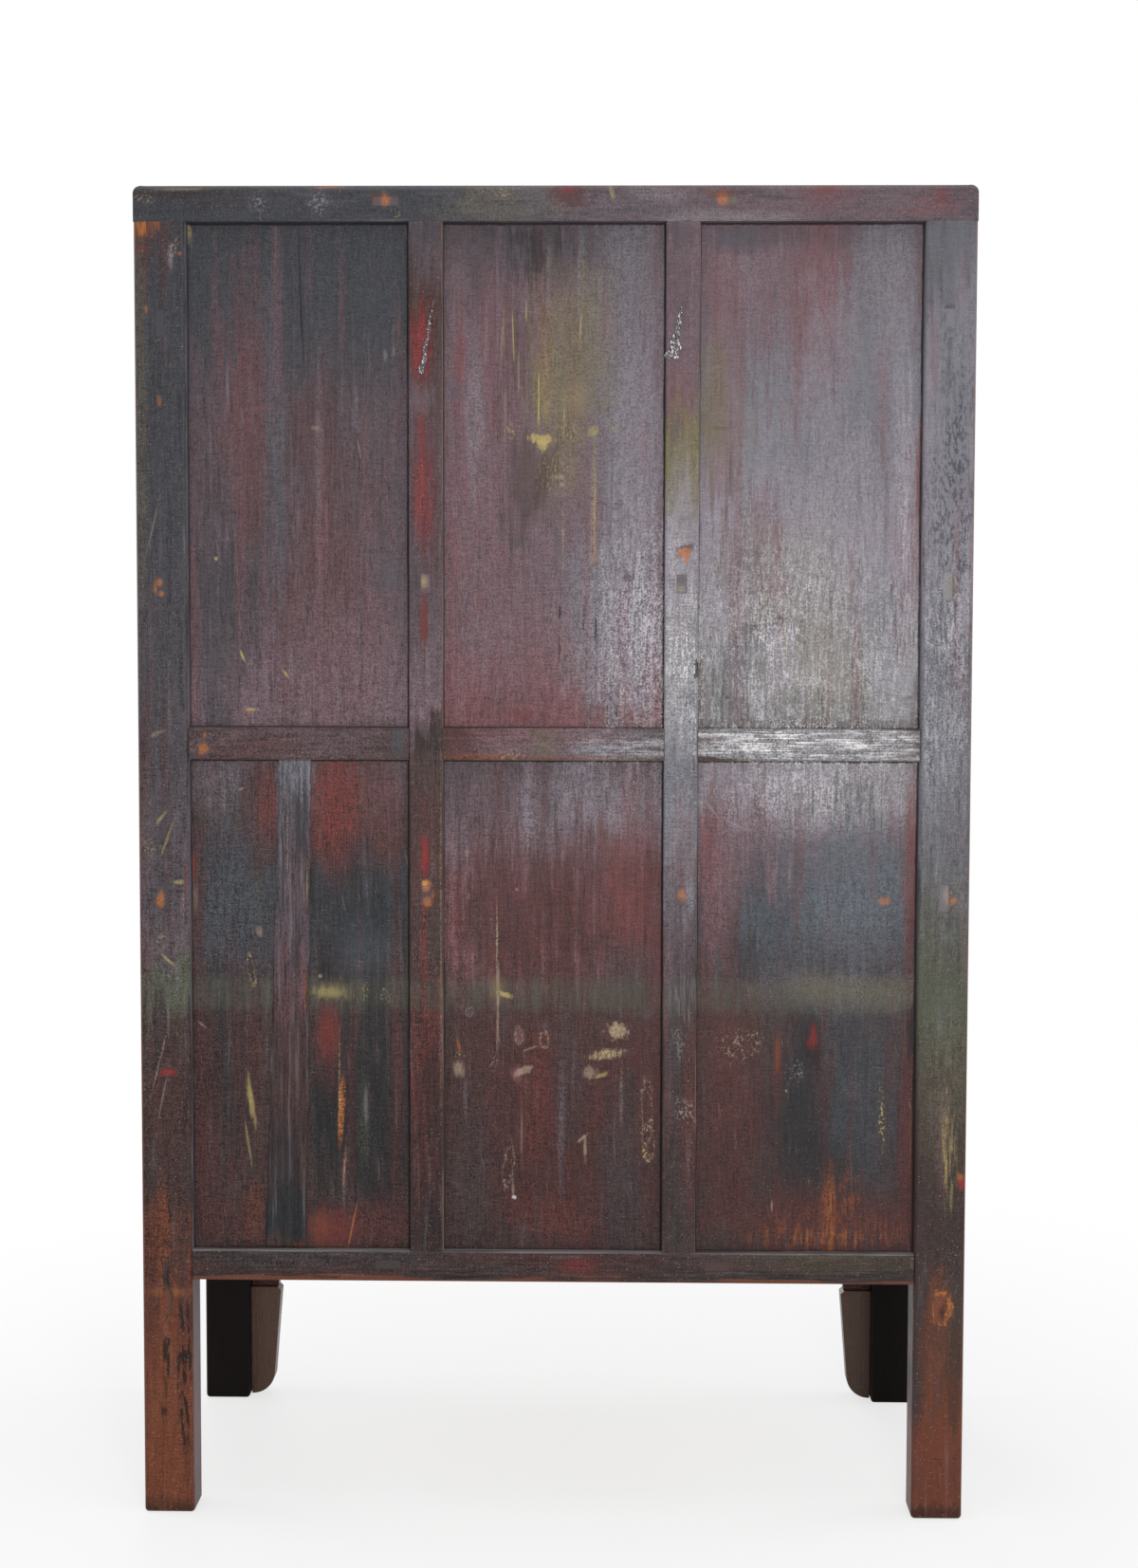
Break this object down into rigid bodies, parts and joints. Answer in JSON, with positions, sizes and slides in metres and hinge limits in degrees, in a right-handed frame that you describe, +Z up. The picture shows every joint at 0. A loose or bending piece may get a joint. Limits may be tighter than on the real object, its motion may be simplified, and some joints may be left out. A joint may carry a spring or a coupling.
{
  "type": "wedding cabinet",
  "caption": "Tall lacquered wooden cabinet with a panelled back, framed double doors over drawers, a shaped apron between the feet and brass ring pulls.",
  "frame": {"origin": "on the floor under the middle of the cabinet's box, its brass included", "axes": "+Z up, +Y towards the panelled back, +X to the right of someone facing the doors"},
  "size_m": [1.15, 0.5672, 1.848],
  "materials": {
    "back_panel_lacquer": "old lacquer, streaked dark red, blue-grey and brown, satin",
    "back_frame_lacquer": "old dark lacquer, satin, worn to orange wood at the arrises",
    "side_lacquer": "old dark lacquer, satin",
    "front_lacquer": "old red lacquer, satin, darkened at the edges",
    "bare_wood": "bare planed softwood, aged",
    "seam_cloth": "ramie cloth strip under dark lacquer",
    "old_brass": "hammered old brass, tarnished"
  },
  "bodies": {
    "root": {"back_bottom_rail": "back_frame_lacquer", "back_left_muntin": "back_frame_lacquer", "back_lower_left_panel": "back_panel_lacquer", "back_lower_middle_panel": "back_panel_lacquer", "back_lower_right_panel": "back_panel_lacquer", "back_middle_rails": "back_frame_lacquer", "back_right_muntin": "back_frame_lacquer", "back_upper_left_panel": "back_panel_lacquer", "back_upper_middle_panel": "back_panel_lacquer", "back_upper_right_panel": "back_panel_lacquer", "drawer_divider": "front_lacquer", "drawer_guides": "bare_wood", "drawer_rail": "front_lacquer", "dust_boards": "bare_wood", "floor_boards": "bare_wood", "floor_braces": "bare_wood", "front_apron": "front_lacquer", "front_bottom_rail": "front_lacquer", "front_left_leg": "front_lacquer", "front_right_leg": "front_lacquer", "hinge_leaves_on_legs": "old_brass", "left_apron_bracket": "front_lacquer", "left_side_battens": "bare_wood", "left_side_bottom_rail": "side_lacquer", "left_side_panel": "side_lacquer", "lower_shelf": "bare_wood", "rear_left_leg": "back_frame_lacquer", "rear_right_leg": "back_frame_lacquer", "right_apron_bracket": "front_lacquer", "right_side_battens": "bare_wood", "right_side_bottom_rail": "side_lacquer", "right_side_panel": "side_lacquer", "seam_strip": "seam_cloth", "shelf_bearers": "bare_wood", "shelf_rails": "bare_wood", "top_back_rail": "back_frame_lacquer", "top_braces": "bare_wood", "top_front_rail": "front_lacquer", "top_left_rail": "side_lacquer", "top_panel": "side_lacquer", "top_right_rail": "side_lacquer", "upper_shelf": "bare_wood"},
    "left_door": {"left_door_frame": "front_lacquer", "left_door_panel": "front_lacquer", "left_door_hinges": "old_brass", "left_lock_plate": "old_brass"},
    "left_door_pull": {"left_door_pull": "old_brass"},
    "left_drawer": {"left_drawer_front": "front_lacquer", "left_drawer_box": "bare_wood", "left_drawer_plate": "old_brass"},
    "left_drawer_pull": {"left_drawer_pull": "old_brass"},
    "right_door": {"right_door_frame": "front_lacquer", "right_door_panel": "front_lacquer", "right_door_hinges": "old_brass", "right_lock_plate": "old_brass"},
    "right_door_pull": {"right_door_pull": "old_brass"},
    "right_drawer": {"right_drawer_front": "front_lacquer", "right_drawer_box": "bare_wood", "right_drawer_plate": "old_brass"},
    "right_drawer_pull": {"right_drawer_pull": "old_brass"}
  },
  "joints": [
    {"name": "left_door_swing", "type": "hinge", "parent": "root", "child": "left_door", "pos_m": [-0.503, -0.2728, 1.178], "axis": [0, 0, -1], "range_deg": [0, 170]},
    {"name": "left_door_pull_swing", "type": "hinge", "parent": "left_door", "child": "left_door_pull", "pos_m": [-0.038, -0.2755, 1.178], "axis": [-1, 0, 0], "range_deg": [-2, 88]},
    {"name": "left_drawer_slide", "type": "slide", "parent": "root", "child": "left_drawer", "axis": [0, -1, 0], "range_m": [0, 0.38]},
    {"name": "left_drawer_pull_swing", "type": "hinge", "parent": "left_drawer", "child": "left_drawer_pull", "pos_m": [-0.261, -0.2755, 0.45865], "axis": [-1, 0, 0], "range_deg": [-2, 88]},
    {"name": "right_door_swing", "type": "hinge", "parent": "root", "child": "right_door", "pos_m": [0.503, -0.2728, 1.178], "axis": [0, 0, 1], "range_deg": [0, 170]},
    {"name": "right_door_pull_swing", "type": "hinge", "parent": "right_door", "child": "right_door_pull", "pos_m": [0.038, -0.2755, 1.178], "axis": [-1, 0, 0], "range_deg": [-2, 88]},
    {"name": "right_drawer_slide", "type": "slide", "parent": "root", "child": "right_drawer", "axis": [0, -1, 0], "range_m": [0, 0.38]},
    {"name": "right_drawer_pull_swing", "type": "hinge", "parent": "right_drawer", "child": "right_drawer_pull", "pos_m": [0.261, -0.2755, 0.45865], "axis": [-1, 0, 0], "range_deg": [-2, 88]}
  ]
}
